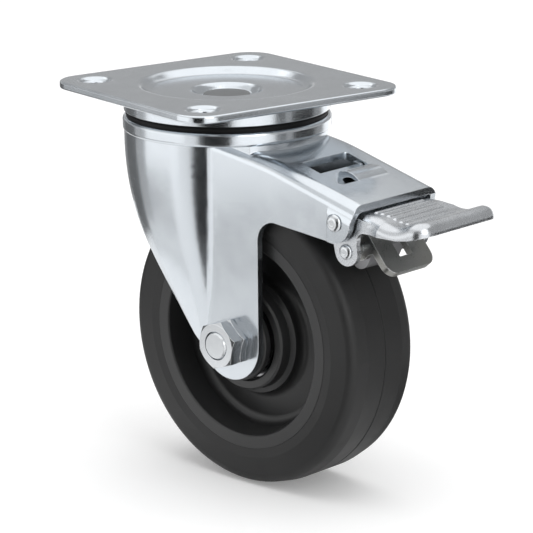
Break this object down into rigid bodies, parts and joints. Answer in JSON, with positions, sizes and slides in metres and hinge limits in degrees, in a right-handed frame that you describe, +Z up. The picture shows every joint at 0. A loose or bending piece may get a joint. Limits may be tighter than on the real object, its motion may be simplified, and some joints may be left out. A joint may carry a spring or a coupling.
{
  "type": "castor wheel",
  "caption": "Swivel castor with square top plate, ball race head, pressed fork, solid rubber tyre on a plastic centre and a foot pedal wheel brake.",
  "frame": {"origin": "on the swivel axis, at the top face of the mounting plate", "axes": "+Z up along the swivel axis, out of the plate; +X towards the pedal; Y along the wheel axle, -Y on the side of the axle's nuts"},
  "size_m": [0.186, 0.1208, 0.164],
  "materials": {
    "zinc_sheet": "bright zinc plate on pressed steel, satin",
    "zinc_hardware": "bright zinc plate on turned parts",
    "nickel_pedal": "bright plate, worn a little on the ribs",
    "dark_lever": "darker plate, satin",
    "black_rubber": "matt moulded rubber",
    "dark_plastic": "satin moulded plastic",
    "black_seal": "satin black",
    "bush_plastic": "satin moulded plastic",
    "shoe_steel": "plain steel, dull",
    "plain_steel": "plain steel, light oil",
    "bearing_steel": "ground and polished"
  },
  "bodies": {
    "plate": {"top_plate": "zinc_sheet", "upper_race": "zinc_sheet", "lower_race": "zinc_sheet", "kingpin": "zinc_hardware", "kingpin_nut": "zinc_hardware"},
    "swivel_balls": {"upper_balls": "bearing_steel", "upper_ball_cage": "plain_steel", "lower_balls": "bearing_steel", "lower_ball_cage": "plain_steel"},
    "fork": {"fork": "zinc_sheet", "dust_seal": "black_seal", "brake_leaf": "zinc_sheet", "pedal_pin": "zinc_hardware", "axle_sleeve": "plain_steel", "middle_spacer": "plain_steel", "near_bearing_inner": "bearing_steel", "far_bearing_inner": "bearing_steel", "near_bush": "bush_plastic", "far_bush": "bush_plastic", "axle_bolt": "zinc_hardware", "jam_nut": "zinc_hardware", "axle_nut": "zinc_hardware"},
    "wheel": {"tyre": "black_rubber", "wheel_rim": "dark_plastic", "near_bearing_outer": "bearing_steel", "near_bearing_shield": "plain_steel", "far_bearing_outer": "bearing_steel", "far_bearing_shield": "plain_steel"},
    "axle_balls": {"near_bearing_balls": "bearing_steel", "far_bearing_balls": "bearing_steel"},
    "pedal": {"brake_pedal": "nickel_pedal", "knee_pin": "zinc_hardware", "brake_shoe": "shoe_steel"},
    "lever": {"release_lever": "dark_lever"}
  },
  "joints": [
    {"name": "swivel", "type": "hinge", "parent": "plate", "child": "fork", "pos_m": [0, 0, 0], "axis": [0, 0, 1], "continuous": true},
    {"name": "swivel_balls_turn", "type": "hinge", "parent": "plate", "child": "swivel_balls", "pos_m": [0, 0, 0], "axis": [0, 0, 1], "continuous": true},
    {"name": "wheel_spin", "type": "hinge", "parent": "fork", "child": "wheel", "pos_m": [0.024, 0, -0.1015], "axis": [0, 1, 0], "continuous": true},
    {"name": "axle_balls_turn", "type": "hinge", "parent": "fork", "child": "axle_balls", "pos_m": [0.024, 0, -0.1015], "axis": [0, 1, 0], "continuous": true},
    {"name": "pedal_swing", "type": "hinge", "parent": "fork", "child": "pedal", "pos_m": [0.082, 0, -0.042], "axis": [0, 1, 0], "range_deg": [0, 18]},
    {"name": "lever_swing", "type": "hinge", "parent": "pedal", "child": "lever", "pos_m": [0.0847, 0, -0.054], "axis": [0, 1, 0], "range_deg": [-12, 0]}
  ],
  "couplings": [
    {"joint": "swivel_balls_turn", "follows": "swivel", "ratio": 0.5},
    {"joint": "axle_balls_turn", "follows": "wheel_spin", "ratio": 0.4}
  ]
}
